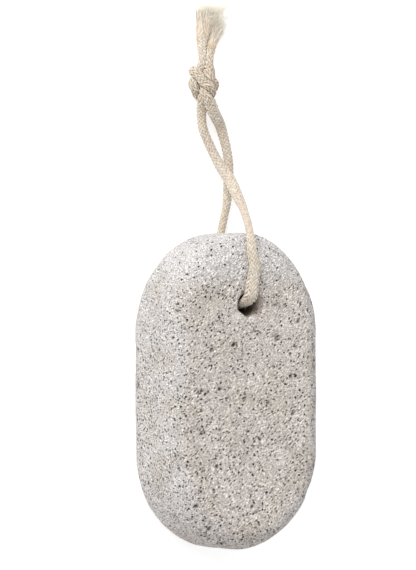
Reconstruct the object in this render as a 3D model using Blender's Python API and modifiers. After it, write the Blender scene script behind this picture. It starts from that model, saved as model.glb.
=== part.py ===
# Pumice stone with a cotton hanging cord.
# The stone lies on its back: +Y runs along it towards the drilled end, +Z out of its front face.
# The origin is on the floor, under the middle of the stone. Units are metres.

import math
import random

import bpy
import bmesh
from mathutils import Matrix, Vector, noise
from mathutils.bvhtree import BVHTree

MM = 0.001
WELD = 0.01 * MM  # points nearer than this are one point

# Stone
STONE_LENGTH = 100 * MM
STONE_WIDTH = 55 * MM
STONE_THICKNESS = 29.5 * MM
END_REACH = 32 * MM  # how far each rounded end runs on from the straight sides
END_FULLNESS = (1.93, 2.0)  # 2 is a true ellipse and less is more pointed: drilled end, plain end
EDGE_ROUNDING = 7 * MM
SURFACE_STEP = 3.1 * MM  # spacing of the stone's surface points
UNEVENNESS = 0.35 * MM
UNEVENNESS_SCALE = 14 * MM
WAVER = 0.7 * MM  # how far the outline strays from a true oval
REST_CROWN = 0.7 * MM  # how far the back bulges before it is worn flat
REST_REACH = (19 * MM, 36 * MM)
NOISE_ORIGIN = Vector((3.1, 7.7, 1.9))

# Hollow in the back, where the cord lies between the hole and the end
HOLLOW_DEPTH = 4.3 * MM
HOLLOW_START = 15 * MM
HOLLOW_FULL = 25 * MM
HOLLOW_FLOOR_WIDTH = 7 * MM
HOLLOW_WIDTH = 25 * MM
HOLLOW_DRIFT = 0.2  # sideways run of the hollow for each step along the stone

# Drilled hole
HOLE_Y = 27.3 * MM
HOLE_RADIUS = 3.65 * MM
HOLE_MOUTH_RADIUS = 4.5 * MM
HOLE_MOUTH_DEPTH = 1.3 * MM
HOLE_SIDES = 20

# Pores: (x, y, radius) of the larger ones in the front face
FACE_PORES = (
    (-1.5, 14.8, 1.5), (12.6, 16.4, 1.4), (-7.4, 1.4, 1.7), (-11.2, -1.6, 1.0),
    (17.7, 4.5, 1.3), (18.8, -7.2, 1.5), (-7.4, -23.3, 1.6), (4.1, -36.2, 1.4),
    (6.0, -15.4, 1.2), (-14.0, 22.0, 1.1), (12.0, -27.0, 1.1), (-1.0, -9.0, 0.9),
)
PORE_TRIES = 165
PORE_RADII = (0.8 * MM, 1.6 * MM)
PORE_SQUASH = (0.7, 1)
PORE_SPACING = 5 * MM
PORE_FACING = 0.6  # how squarely a ray has to meet the surface
PORE_SINK = 0.25  # how deep a pore's centre sits, as a share of its radius
PORE_SEED = 21
GRAIN_ANGLE = math.radians(38)  # the drawn-out pores' direction across the front face

# Chip on the right edge, near the lower end
CHIP_CENTRE = (25.2 * MM, -32.6 * MM, 27.4 * MM)
CHIP_SIZE = (2.4 * MM, 3.2 * MM, 2.4 * MM)

# Cord
CORD_DIAMETER = 3.3 * MM
CORD_STEP = 3 * MM
TOUCH_GAP = 0.3 * MM

# The loop's route, in millimetres: out of the knot, over the top end, down the hole,
# back under the stone and along the floor to the knot
LOOP_ROUTE = (
    (-1.9, 92.5, 1.7), (-1.9, 90.5, 1.7), (-1.8, 88.0, 1.7), (-1.4, 85.5, 1.7),
    (-0.6, 82.8, 1.7), (0.8, 79.8, 1.7), (2.9, 75.7, 1.9), (4.9, 71.4, 3.1),
    (6.9, 67.6, 5.2), (8.1, 63.8, 7.7), (7.6, 59.5, 12.0), (5.1, 55.2, 18.8),
    (2.9, 51.8, 25.2), (1.7, 48.0, 30.1), (0.9, 42.6, 32.0), (0.3, 37.0, 32.1),
    (0.0, 33.4, 32.2), (-0.1, 30.2, 30.9), (-0.1, 28.3, 27.8), (-0.1, 27.3, 22.5),
    (0.0, 26.8, 15.0), (0.1, 26.5, 8.6), (0.2, 27.4, 4.7), (0.6, 30.0, 2.3),
    (1.5, 34.2, 1.7), (3.2, 43.0, 1.7), (5.0, 51.6, 1.7), (6.4, 57.5, 1.7),
    (7.7, 63.0, 1.7), (8.8, 68.5, 1.7), (9.1, 73.0, 1.7), (8.4, 77.4, 1.7),
    (6.9, 81.0, 1.8), (4.8, 84.0, 2.4), (2.2, 86.2, 3.7), (-0.3, 87.6, 4.9),
    (-1.7, 89.3, 5.3), (-1.9, 91.0, 5.3), (-1.9, 92.5, 5.3),
)

# Knot: the doubled cord's own route through it, in millimetres
KNOT_START = 93.0 * MM
KNOT_END = 103.0 * MM
KNOT_ROUTE = (
    (-1.9, 90.0, 3.6), (-1.9, 93.5, 3.6), (-1.6, 97.0, 3.4), (-2.6, 100.2, 4.4),
    (-5.0, 100.6, 6.4), (-5.4, 98.2, 7.6), (-2.6, 96.2, 7.9), (0.8, 94.8, 6.6),
    (1.6, 95.2, 4.0), (-0.2, 97.6, 2.6), (-3.4, 98.6, 3.2), (-3.6, 97.2, 5.2),
    (-1.8, 99.0, 5.2), (-0.8, 102.0, 4.6), (-0.6, 106.0, 4.2),
)
KNOT_CORD_RADIUS = 2.4 * MM
KNOT_STEP = 1.1 * MM

TAIL_LEFT_ROUTE = (
    (-2.5, 103.5, 4.4), (-2.4, 105.5, 4.2), (-1.7, 108.7, 2.7), (-1.0, 112.0, 1.8),
    (-0.7, 117.0, 1.7), (-0.5, 122.3, 1.7),
)
TAIL_RIGHT_ROUTE = (
    (1.4, 103.5, 4.4), (1.6, 105.5, 4.2), (2.8, 108.4, 2.7), (4.2, 111.2, 1.8),
    (5.6, 114.0, 1.7), (6.7, 116.6, 1.7),
)

STONE_COLOUR = (0.50, 0.46, 0.42, 1)
CORD_COLOUR = (0.78, 0.71, 0.60, 1)


def clear_scene():
    for thing in list(bpy.data.objects):
        bpy.data.objects.remove(thing, do_unlink=True)


def make_collection(name):
    collection = bpy.data.collections.new(name)
    bpy.context.scene.collection.children.link(collection)
    return collection


def make_material(name, colour, roughness):
    material = bpy.data.materials.new(name)
    material.use_nodes = True
    shader = material.node_tree.nodes["Principled BSDF"]
    shader.inputs["Base Color"].default_value = colour
    shader.inputs["Roughness"].default_value = roughness
    shader.inputs["Metallic"].default_value = 0
    return material


def add_object(name, data, collection, material=None):
    thing = bpy.data.objects.new(name, data)
    collection.objects.link(thing)
    if material:
        data.materials.append(material)
    return thing


def finish_mesh(shape, name):
    bmesh.ops.recalc_face_normals(shape, faces=shape.faces)
    mesh = bpy.data.meshes.new(name)
    shape.to_mesh(mesh)
    shape.free()
    return mesh


def smooth_step(value, start, end):
    share = min(1, max(0, (value - start) / (end - start)))
    return share * share * (3 - 2 * share)


def add_modifier(thing, kind, **settings):
    modifier = thing.modifiers.new(kind.title(), kind)
    for key, value in settings.items():
        setattr(modifier, key, value)
    return modifier


def apply_modifiers(thing):
    evaluated = thing.evaluated_get(bpy.context.evaluated_depsgraph_get())
    mesh = bpy.data.meshes.new_from_object(evaluated)
    thing.modifiers.clear()
    thing.data = mesh


def hide_cutter(cutter):
    cutter.hide_render = True
    cutter.display_type = "WIRE"


# Straight sides that run into a rounded end, nearly half an ellipse, at each end
def stone_outline(arc_points=28):
    half_width = STONE_WIDTH / 2
    side_end = STONE_LENGTH / 2 - END_REACH
    points = []
    for end, fullness in zip((1, -1), END_FULLNESS):
        for step in range(arc_points + 1):
            angle = math.pi * step / arc_points
            across = math.copysign(abs(math.cos(angle)) ** (2 / fullness), math.cos(angle))
            along = abs(math.sin(angle)) ** (2 / fullness)
            points.append((end * half_width * across, end * (side_end + END_REACH * along), 0))
    return points


def make_block(collection, material):
    shape = bmesh.new()
    base = shape.faces.new([shape.verts.new(point) for point in stone_outline()])
    top = bmesh.ops.extrude_face_region(shape, geom=[base])["geom"]
    top_points = [item for item in top if isinstance(item, bmesh.types.BMVert)]
    bmesh.ops.translate(shape, verts=top_points, vec=(0, 0, STONE_THICKNESS))
    rims = [edge for edge in shape.edges
            if abs(edge.verts[0].co.z - edge.verts[1].co.z) < TOUCH_GAP]
    bmesh.ops.bevel(shape, geom=rims, offset=EDGE_ROUNDING, segments=5, profile=0.5,
                    affect="EDGES", material=-1)
    block = add_object("pumice_stone", finish_mesh(shape, "pumice_stone"), collection, material)
    add_modifier(block, "REMESH", mode="VOXEL", voxel_size=SURFACE_STEP)
    apply_modifiers(block)
    return block


def back_hollow(x, y):
    beside = abs(x - HOLLOW_DRIFT * max(0, y - HOLE_Y))
    across = 1 - smooth_step(beside, HOLLOW_FLOOR_WIDTH / 2, HOLLOW_WIDTH / 2)
    return HOLLOW_DEPTH * across * smooth_step(y, HOLLOW_START, HOLLOW_FULL)


# The natural unevenness of the surface, the back's crown and the hollow in it
def weather(block):
    shape = bmesh.new()
    shape.from_mesh(block.data)
    shape.normal_update()
    for vert in shape.verts:
        x, y, z = vert.co
        back_share = 1 - smooth_step(z, 0, STONE_THICKNESS * 0.6)
        lift = back_hollow(x, y)
        crown = max(0, 1 - (x / REST_REACH[0]) ** 2 - (y / REST_REACH[1]) ** 2)
        spot = NOISE_ORIGIN + vert.co / UNEVENNESS_SCALE
        swell = noise.fractal(spot, 0.8, 2.1, 3) * UNEVENNESS
        sideways = noise.noise(Vector((x, y, 0)) / (3 * UNEVENNESS_SCALE) + NOISE_ORIGIN)
        outward = Vector((vert.normal.x, vert.normal.y, 0)) * sideways * WAVER
        vert.co += vert.normal * swell + outward
        vert.co.z += back_share * (lift - REST_CROWN * crown)
    wear_flat(shape)
    block.data = finish_mesh(shape, "pumice_stone")


# The bulge of the back is worn off in the plane that the stone rests on
def wear_flat(shape):
    slice_off(shape, place=(0, 0, 0), outward=(0, 0, -1))
    for vert in shape.verts:
        if vert.co.z < WELD:
            vert.co.z = 0
    bmesh.ops.triangulate(shape, faces=[face for face in shape.faces if len(face.verts) > 4])


# Takes away what lies beyond a plane and closes the cut
def slice_off(shape, place, outward):
    everything = shape.verts[:] + shape.edges[:] + shape.faces[:]
    cut = bmesh.ops.bisect_plane(shape, geom=everything, dist=WELD / 2, plane_co=place,
                                 plane_no=outward, clear_outer=True)
    rim = [item for item in cut["geom_cut"] if isinstance(item, bmesh.types.BMEdge)]
    bmesh.ops.holes_fill(shape, edges=rim, sides=0)


# Brings the finished stone's middle over the origin, with its back on the floor
def centre_on_origin(block):
    corners = [vert.co for vert in block.data.vertices]
    middle = [(min(c[axis] for c in corners) + max(c[axis] for c in corners)) / 2
              for axis in (0, 1)]
    low = min(c.z for c in corners)
    block.data.transform(Matrix.Translation((-middle[0], -middle[1], -low)))


def cut_with(block, cutter, name):
    hide_cutter(cutter)
    add_modifier(block, "BOOLEAN", operation="DIFFERENCE", object=cutter).name = name


def drill_hole(block, cutters):
    profile = [
        (0, STONE_THICKNESS + 2 * MM), (HOLE_MOUTH_RADIUS + 1.2 * MM, STONE_THICKNESS + 2 * MM),
        (HOLE_MOUTH_RADIUS, STONE_THICKNESS), (HOLE_RADIUS + 0.2 * MM, STONE_THICKNESS - 0.5 * MM),
        (HOLE_RADIUS, STONE_THICKNESS - HOLE_MOUTH_DEPTH),
        (HOLE_RADIUS, HOLLOW_DEPTH + HOLE_MOUTH_DEPTH),
        (HOLE_MOUTH_RADIUS, HOLLOW_DEPTH - 0.2 * MM), (HOLE_MOUTH_RADIUS + 1.5 * MM, -2 * MM),
        (0, -2 * MM),
    ]
    shape = bmesh.new()
    verts = [shape.verts.new((radius, 0, height)) for radius, height in profile]
    edges = [shape.edges.new(pair) for pair in zip(verts, verts[1:])]
    bmesh.ops.spin(shape, geom=verts + edges, cent=(0, 0, 0), axis=(0, 0, 1),
                   angle=2 * math.pi, steps=HOLE_SIDES, use_merge=True)
    bmesh.ops.remove_doubles(shape, verts=shape.verts, dist=WELD)
    bmesh.ops.translate(shape, verts=shape.verts, vec=(0, HOLE_Y, 0))
    cutter = add_object("hole_cutter", finish_mesh(shape, "hole_cutter"), cutters)
    cut_with(block, cutter, "Drilled hole")


def add_dent(shape, centre, size, turn=0):
    turned = Matrix.Translation(centre) @ Matrix.Rotation(turn, 4, "Z")
    place = turned @ Matrix.Diagonal(size).to_4x4()
    bmesh.ops.create_icosphere(shape, subdivisions=1, radius=1, matrix=place)


# One pore in the random scatter: the ray that finds its place, its size and its turn
def draw_pore(chance):
    half = Vector((STONE_WIDTH, STONE_LENGTH, STONE_THICKNESS)) / 2
    side_areas = (half.y * half.z, half.x * half.z, half.x * half.y)
    axis = chance.choices((0, 1, 2), side_areas)[0]
    side = chance.choice((-1, 1))
    start = Vector([chance.uniform(-reach, reach) for reach in half])
    start[axis] = 2 * side * half[axis]
    heading = Vector((0, 0, 0))
    heading[axis] = -side
    radius = chance.uniform(*PORE_RADII)
    size = Vector([radius * chance.uniform(*PORE_SQUASH) for _ in range(3)])
    return start + Vector((0, 0, half.z)), heading, size, chance.uniform(0, math.pi)


# The scattered pores keep off the hole's mouths, the resting patch and each other
def scatter_pores(tree, taken, chance):
    pores = []
    for _ in range(PORE_TRIES):
        start, heading, size, turn = draw_pore(chance)
        hit, normal = tree.ray_cast(start, heading)[:2]
        if hit is None or -normal.dot(heading) < PORE_FACING or hit.z < EDGE_ROUNDING / 2:
            continue
        near_hole = math.hypot(hit.x, hit.y - HOLE_Y) < HOLE_MOUTH_RADIUS + 3 * MM
        if near_hole or any((hit - other).length < PORE_SPACING for other in taken):
            continue
        taken.append(hit)
        pores.append((hit - normal * size.z * PORE_SINK, size, turn))
    return pores


def pit_surface(block, cutters):
    chance = random.Random(PORE_SEED)
    surface = bmesh.new()
    surface.from_mesh(block.data)
    tree = BVHTree.FromBMesh(surface)
    surface.free()
    shape = bmesh.new()
    taken = []
    for x, y, radius in FACE_PORES:
        above = Vector((x * MM, y * MM, 2 * STONE_THICKNESS))
        hit = tree.ray_cast(above, Vector((0, 0, -1)))[0]
        taken.append(hit)
        size = Vector((1, 0.75, 0.8)) * radius * MM
        add_dent(shape, hit - Vector((0, 0, size.z * PORE_SINK)), size, GRAIN_ANGLE)
    for centre, size, turn in scatter_pores(tree, taken, chance):
        add_dent(shape, centre, size, turn)
    add_dent(shape, CHIP_CENTRE, Vector(CHIP_SIZE))
    cutter = add_object("pore_cutter", finish_mesh(shape, "pore_cutter"), cutters)
    cut_with(block, cutter, "Pores")


def make_stone(parts, cutters):
    block = make_block(parts, make_material("pumice", STONE_COLOUR, 0.95))
    weather(block)
    centre_on_origin(block)
    drill_hole(block, cutters)
    pit_surface(block, cutters)
    block.data.shade_smooth()
    return block


def catmull_rom(before, start, end, after, share):
    return 0.5 * (2 * start + (end - before) * share
                  + (2 * before - 5 * start + 4 * end - after) * share ** 2
                  + (3 * start - before - 3 * end + after) * share ** 3)


# Points at an even step along the smooth curve through a route
def smooth_route(route, step):
    knots = [Vector(point) * MM for point in route]
    knots = [2 * knots[0] - knots[1]] + knots + [2 * knots[-1] - knots[-2]]
    fine = [catmull_rom(*knots[i:i + 4], part / 24)
            for i in range(len(knots) - 3) for part in range(24)]
    fine.append(knots[-2])
    travelled = [0]
    for start, end in zip(fine, fine[1:]):
        travelled.append(travelled[-1] + (end - start).length)
    count = max(2, round(travelled[-1] / step))
    points = []
    place = 0
    for number in range(count + 1):
        distance = travelled[-1] * number / count
        while place < len(fine) - 2 and travelled[place + 1] < distance:
            place += 1
        share = (distance - travelled[place]) / (travelled[place + 1] - travelled[place])
        points.append(fine[place].lerp(fine[place + 1], share))
    return points


def make_tube(name, points, radius, collection, material=None):
    curve = bpy.data.curves.new(name, "CURVE")
    curve.dimensions = "3D"
    curve.bevel_depth = radius
    curve.bevel_resolution = 2
    curve.use_fill_caps = True
    spline = curve.splines.new("POLY")
    spline.points.add(len(points) - 1)
    for place, point in zip(spline.points, points):
        place.co = (*point, 1)
    return add_object(name, curve, collection, material)


# The knot is its doubled cord's outer shape, cut square where the cord goes in and comes out
def make_knot(parts, material):
    guide = make_tube("knot_guide", smooth_route(KNOT_ROUTE, KNOT_STEP), KNOT_CORD_RADIUS, parts)
    mesh = bpy.data.meshes.new_from_object(
        guide.evaluated_get(bpy.context.evaluated_depsgraph_get()))
    bpy.data.objects.remove(guide)
    shape = bmesh.new()
    shape.from_mesh(mesh)
    bmesh.ops.remove_doubles(shape, verts=shape.verts, dist=WELD)
    knot = add_object("cord_knot", finish_mesh(shape, "cord_knot"), parts, material)
    add_modifier(knot, "REMESH", mode="VOXEL", voxel_size=0.8 * MM)
    add_modifier(knot, "DECIMATE", ratio=0.45)
    apply_modifiers(knot)
    square_ends(knot)


def square_ends(knot):
    shape = bmesh.new()
    shape.from_mesh(knot.data)
    slice_off(shape, place=(0, KNOT_START, 0), outward=(0, -1, 0))
    slice_off(shape, place=(0, KNOT_END, 0), outward=(0, 1, 0))
    bmesh.ops.triangulate(shape, faces=shape.faces)
    knot.data = finish_mesh(shape, "cord_knot")


def make_cord(parts):
    cotton = make_material("cotton", CORD_COLOUR, 0.9)
    radius = CORD_DIAMETER / 2
    make_tube("cord_loop", smooth_route(LOOP_ROUTE, CORD_STEP), radius, parts, cotton)
    make_tube("cord_tail_left", smooth_route(TAIL_LEFT_ROUTE, CORD_STEP), radius, parts, cotton)
    make_tube("cord_tail_right", smooth_route(TAIL_RIGHT_ROUTE, CORD_STEP), radius, parts, cotton)
    make_knot(parts, cotton)


def main():
    clear_scene()
    parts = make_collection("Pumice stone")
    cutters = make_collection("Cutters")
    make_stone(parts, cutters)
    make_cord(parts)


main()
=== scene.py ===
# The looks of a pumice stone on a cotton cord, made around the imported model.
# Shapes are worked out in millimetres and made metres when a piece is finished.

import math
import random
import bpy
import bmesh
import numpy as np
from mathutils import Matrix, Vector, noise
from mathutils.bvhtree import BVHTree
from mathutils.kdtree import KDTree


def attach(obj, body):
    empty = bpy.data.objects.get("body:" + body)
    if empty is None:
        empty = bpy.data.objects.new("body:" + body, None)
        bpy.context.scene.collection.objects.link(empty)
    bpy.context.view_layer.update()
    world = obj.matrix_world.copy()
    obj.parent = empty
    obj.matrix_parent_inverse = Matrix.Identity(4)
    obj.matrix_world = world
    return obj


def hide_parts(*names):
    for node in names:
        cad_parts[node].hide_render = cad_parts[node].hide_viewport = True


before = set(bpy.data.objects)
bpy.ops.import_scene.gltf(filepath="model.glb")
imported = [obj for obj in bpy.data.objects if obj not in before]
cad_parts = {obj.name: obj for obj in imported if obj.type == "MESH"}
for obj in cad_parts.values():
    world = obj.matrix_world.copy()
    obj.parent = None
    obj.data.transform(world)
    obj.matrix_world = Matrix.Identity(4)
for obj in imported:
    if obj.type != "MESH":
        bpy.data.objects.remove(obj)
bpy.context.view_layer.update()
mm = 0.001


def smoothStep(value, start, end):
    share = np.clip((value - start) / (end - start), 0, 1)
    return share * share * (3 - 2 * share)


def between(value, start, full, fade, end):
    # rises from start to full and falls again from fade to end
    return smoothStep(value, start, full) * (1 - smoothStep(value, fade, end))


def linkObject(name, data):
    piece = bpy.data.objects.new(name, data)
    bpy.context.scene.collection.objects.link(piece)
    return piece


def bakedMesh(piece):
    # the object's mesh as its modifiers or its bevel leave it; the object itself goes
    evaluated = piece.evaluated_get(bpy.context.evaluated_depsgraph_get())
    mesh = bpy.data.meshes.new_from_object(evaluated)
    mesh.name = piece.name
    bpy.data.objects.remove(piece)
    return mesh


def vectorsOf(items, key):
    values = np.empty(len(items) * 3)
    items.foreach_get(key, values)
    return values.reshape(-1, 3)


def vertexPlaces(mesh):
    return vectorsOf(mesh.vertices, "co")


def setVertexPlaces(mesh, places):
    mesh.vertices.foreach_set("co", np.ascontiguousarray(places, dtype=np.float32).ravel())
    mesh.update()


def setVertexValues(mesh, **values):
    for name, numbers in values.items():
        layer = mesh.attributes.new(name, "FLOAT", "POINT")
        layer.data.foreach_set("value", np.asarray(numbers, np.float32).ravel())


def surfaceTree(mesh):
    return BVHTree.FromPolygons(vertexPlaces(mesh).tolist(),
                                [list(face.vertices) for face in mesh.polygons])


def finishPiece(name, mesh, material, nodes=()):
    mesh.transform(Matrix.Scale(mm, 4))
    mesh.materials.clear()
    mesh.materials.append(material)
    mesh.shade_smooth()
    piece = linkObject(name, mesh)
    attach(piece, "root")
    if nodes:
        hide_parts(*nodes)
    return piece


class Signal:
    # an output socket of a material; arithmetic on it adds Math nodes
    def __init__(self, finish, socket):
        self.finish = finish
        self.socket = socket

    def math(self, operation, first, second):
        return self.finish.add("Math", {"operation": operation}, {0: first, 1: second})

    __add__ = __radd__ = lambda self, other: self.math("ADD", self, other)
    __mul__ = __rmul__ = lambda self, other: self.math("MULTIPLY", self, other)
    __sub__ = lambda self, other: self.math("SUBTRACT", self, other)
    __rsub__ = lambda self, other: self.math("SUBTRACT", other, self)
    __truediv__ = lambda self, other: self.math("DIVIDE", self, other)


class Finish:
    # a material and the nodes in it
    def __init__(self, name, **shaderValues):
        self.material = bpy.data.materials.new(name)
        self.material.use_nodes = True
        self.tree = self.material.node_tree
        self.shader = self.tree.nodes["Principled BSDF"]
        self.fill(self.shader, shaderValues)

    def fill(self, node, values):
        for key, value in values.items():
            key = key.replace("_", " ") if isinstance(key, str) else key
            if isinstance(value, Signal):
                self.tree.links.new(value.socket, node.inputs[key])
            else:
                node.inputs[key].default_value = value

    def add(self, kind, settings=None, values=None, output=0):
        node = self.tree.nodes.new("ShaderNode" + kind)
        for key, value in (settings or {}).items():
            setattr(node, key, value)
        self.fill(node, values or {})
        return Signal(self, node.outputs[output])

    def blend(self, share, under, over, way="MIX"):
        under, over = [(*colour, 1) if isinstance(colour, tuple) else colour
                       for colour in (under, over)]
        return self.add("Mix", {"data_type": "RGBA", "blend_type": way},
                        {0: share, 6: under, 7: over}, output=2)

    def lay(self, colour, look, **masks):
        # lays one colour of the look after another over what is there, each through its mask
        for name, mask in masks.items():
            share, over = look[name]
            colour = self.blend(mask * share, colour, over)
        return colour

    def rise(self, value, start, end):
        return self.add("MapRange", {"interpolation_type": "SMOOTHSTEP"},
                        {0: value, 1: start, 2: end, 3: 0, 4: 1})

    def attributes(self, *names):
        return [self.add("Attribute", {"attribute_name": name}, output="Fac") for name in names]

    def noise(self, place, size, detail=2, roughness=0.5, output=0):
        return self.add("TexNoise", {}, {"Vector": place, "Scale": 1 / size, "Detail": detail,
                                         "Roughness": roughness}, output)

    def vector(self, operation, values):
        return self.add("VectorMath", {"operation": operation}, values)

    def part(self, vector, number):
        return self.add("SeparateXYZ", {}, {0: vector}, output=number)

    def millimetres(self):
        return self.vector("SCALE", {0: self.add("TexCoord", output="Object"), "Scale": 1 / mm})

    def finished(self, colour, height, depth, strength):
        bump = self.add("Bump", {}, {"Strength": strength, "Distance": depth * mm,
                                     "Height": height})
        self.fill(self.shader, {"Base Color": colour, "Normal": bump})
        return self.material


view = {
    "tilt": 30,  # degrees off straight down, towards the stone's left side
    "distance": 1500,
    "aim": (-4.85, 33.5, 11.95),
    "frameHeight": 180.7,  # what the frame's long side takes in at the aim
    "clip": (50, 10000),
}


def makeCamera():
    lean = math.radians(view["tilt"])
    back = Vector((-math.sin(lean), 0, math.cos(lean)))
    across = Vector((math.cos(lean), 0, math.sin(lean)))
    data = bpy.data.cameras.new("camera")
    data.lens = data.sensor_width * view["distance"] / view["frameHeight"]
    data.clip_start, data.clip_end = [reach * mm for reach in view["clip"]]
    camera = linkObject("camera", data)
    turn = Matrix((across, Vector((0, 1, 0)), back)).transposed()
    place = (Vector(view["aim"]) + back * view["distance"]) * mm
    camera.matrix_world = Matrix.Translation(place) @ turn.to_4x4()
    bpy.context.scene.camera = camera


# a name with At gives a stretch along the stone: start and full, and then fade and end
cord = {
    "diameter": 3.3,
    "step": 0.45,
    "sections": 24,  # points round each cross-section
    "holeMiddle": (0, 26.8, 15),
    "exits": ((0, 30, 29.5), (0, 28, 4.3)),
    "ownReach": 4.5,  # along the cord, how near a point still counts as the same stretch
    "lookArea": 30,  # square of how near another stretch has to be to press on it
    "openRoom": 9, "floorGap": 0.03,
    "widest": 1.3,  # how far a pressed cross-section swells, as a share of its radius
    "pulled": (0.14, 0.12), "pulledAt": (45, 51, 56, 63),  # how much thinner, front and back
    "swells": ((66, 0.24, 6), (88, 0.2, 6)),  # where they lie flatter: place, share, length
    "knotted": 0.1, "knottedAt": (87, 90, 101, 105),  # how much fuller in the knot,
    "loosened": 0.42, "loosenedAt": (106, 117),  # and towards the frayed ends
    "flatWider": 0.7, "flatThinner": 0.25, "flatAt": (28, 51),  # where it is drawn over the stone
    "onStone": (52, 14),  # how far along and how low it counts as lying there
    "knotStart": 92,
    "tailEnds": (121.6, 116.2),
}


lie = {
    # how far each strand slips sideways: place along the stone, shift, length
    "frontSlips": [(63, -0.7, 4), (49.5, -0.95, 3.2), (44.6, -0.8, 4), (38.5, 0.75, 4)],
    "backSlips": [(87.5, 1.5, 4), (76, -0.6, 6)],
    "slipStart": 29,
    "onFace": (56, 20),  # how far along and how low the front one can lie on the face
    "overFace": 1.25, "overFaceAt": (29.5, 33, 47, 51),  # from its middle down to the stone
    "backShift": 1.15, "backShiftAt": (44, 51, 58, 68),
    "tailLength": 24, "tailShift": 2.1, "tailAt": (97, 104), "tailMore": 0.3, "moreAt": (109, 116),
}

# out of the knot, over the top end, down the hole, back under the stone and to the knot
loopRoute = [
    (-1.9, 92.5, 1.7), (-1.9, 90.5, 1.7), (-1.8, 88.0, 1.7), (-1.4, 85.5, 1.7),
    (-0.6, 82.8, 1.7), (0.8, 79.8, 1.7), (2.9, 75.7, 1.9), (4.9, 71.4, 3.1),
    (6.9, 67.6, 5.2), (8.1, 63.8, 7.7), (7.6, 59.5, 12.0), (5.1, 55.2, 18.8),
    (2.9, 51.8, 25.2), (1.7, 48.0, 30.1), (0.9, 42.6, 32.0), (0.3, 37.0, 32.1),
    (0.0, 33.4, 32.2), (-0.1, 30.2, 30.9), (-0.1, 28.3, 27.8), (-0.1, 27.3, 22.5),
    (0.0, 26.8, 15.0), (0.1, 26.5, 8.6), (0.2, 27.4, 4.7), (0.6, 30.0, 2.3),
    (1.5, 34.2, 1.7), (3.2, 43.0, 1.7), (5.0, 51.6, 1.7), (6.4, 57.5, 1.7),
    (7.7, 63.0, 1.7), (8.8, 68.5, 1.7), (9.1, 73.0, 1.7), (8.4, 77.4, 1.7),
    (6.9, 81.0, 1.8), (4.8, 84.0, 2.4), (2.2, 86.2, 3.7), (-0.3, 87.6, 4.9),
    (-1.7, 89.3, 5.3), (-1.9, 91.0, 5.3), (-1.9, 92.5, 5.3),
]
tailLeftRoute = [
    (-2.5, 103.5, 4.4), (-2.4, 105.5, 4.2), (-1.7, 108.7, 2.7), (-1.0, 112.0, 1.8),
    (-0.7, 117.0, 1.7), (-0.5, 122.3, 1.7),
]
tailRightRoute = [
    (1.4, 103.5, 4.4), (1.6, 105.5, 4.2), (2.8, 108.4, 2.7), (4.2, 111.2, 1.8),
    (5.6, 114.0, 1.7), (6.7, 116.6, 1.7),
]

knot = {
    "centre": (-2.7, 98, 5.3),
    "points": 150,
    "scale": 3.2,
    "lead": 14,  # length of straight cord at each end of the loose knot
    "touch": 2.0,  # how near two strands can come when the knot is tight
    "spin": -60,
    "roll": -20,
    "twist": -1.6,
    "rounds": 600, "evened": 5,  # and how often its points are spread evenly again
    "pull": 0.3, "push": 1.3,
    "squeeze": 0.01, "squeezeReach": 5,
    "moving": 0.35,  # share of the rounds in which its ends move to where they belong
    "floor": 1.3, "floorFrom": 0.3,  # what holds it up, and from which share of the rounds
    "easeReach": 5, "easeRounds": 40,
    "lobesAt": (6, 9), "leftLobe": (0.5, 3), "rightLobe": (0.5, 3.5),
    "raised": 0.6, "lowered": 0.6, "drawnOut": 0.1,  # how the tied knot's lobes are shifted
    "bottom": 87.7,  # along the stone's length, where the loop's strands end and the knot starts
    "top": 107.5,
}


def travelled(path):
    return np.concatenate([[0], np.cumsum(np.linalg.norm(np.diff(path, axis=0), axis=1))])


def atStations(stops, stations, table):
    return np.stack([np.interp(stops, stations, table[:, axis]) for axis in range(3)], 1)


def evenSteps(path, step=None, count=None):
    stations = travelled(path)
    count = count or max(3, round(stations[-1] / step) + 1)
    return atStations(np.linspace(0, stations[-1], count), stations, path)


def smoothRoute(points, step):
    # a smooth curve through all the points
    knots = np.array(points, float)
    knots = np.vstack([2 * knots[0] - knots[1], knots, 2 * knots[-1] - knots[-2]])
    before, start, end, after = [knots[first:first - 3 or None, None] for first in range(4)]
    share = np.arange(24)[:, None] / 24
    fine = 0.5 * (2 * start + (end - before) * share
                  + (2 * before - 5 * start + 4 * end - after) * share ** 2
                  + (3 * start - before - 3 * end + after) * share ** 3)
    return evenSteps(np.vstack([fine.reshape(-1, 3), knots[-2]]), step)


def sideways(path):
    # two directions square to the path at each point, carried along without twisting
    ahead = np.gradient(path, axis=0)
    ahead /= np.linalg.norm(ahead, axis=1)[:, None]
    side = np.array((1.0, 0, 0))
    sides = []
    for direction in ahead:
        side = side - direction * side.dot(direction)
        side = side / np.linalg.norm(side)
        sides.append(side)
    sides = np.array(sides)
    return sides, np.cross(ahead, sides)


def turnAbout(axis, degrees):
    return np.array(Matrix.Rotation(math.radians(degrees), 3, axis))


def beforeKnot(path):
    return np.arange(len(path)) < np.argmax(path[:, 1] > cord["knotStart"])


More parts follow.
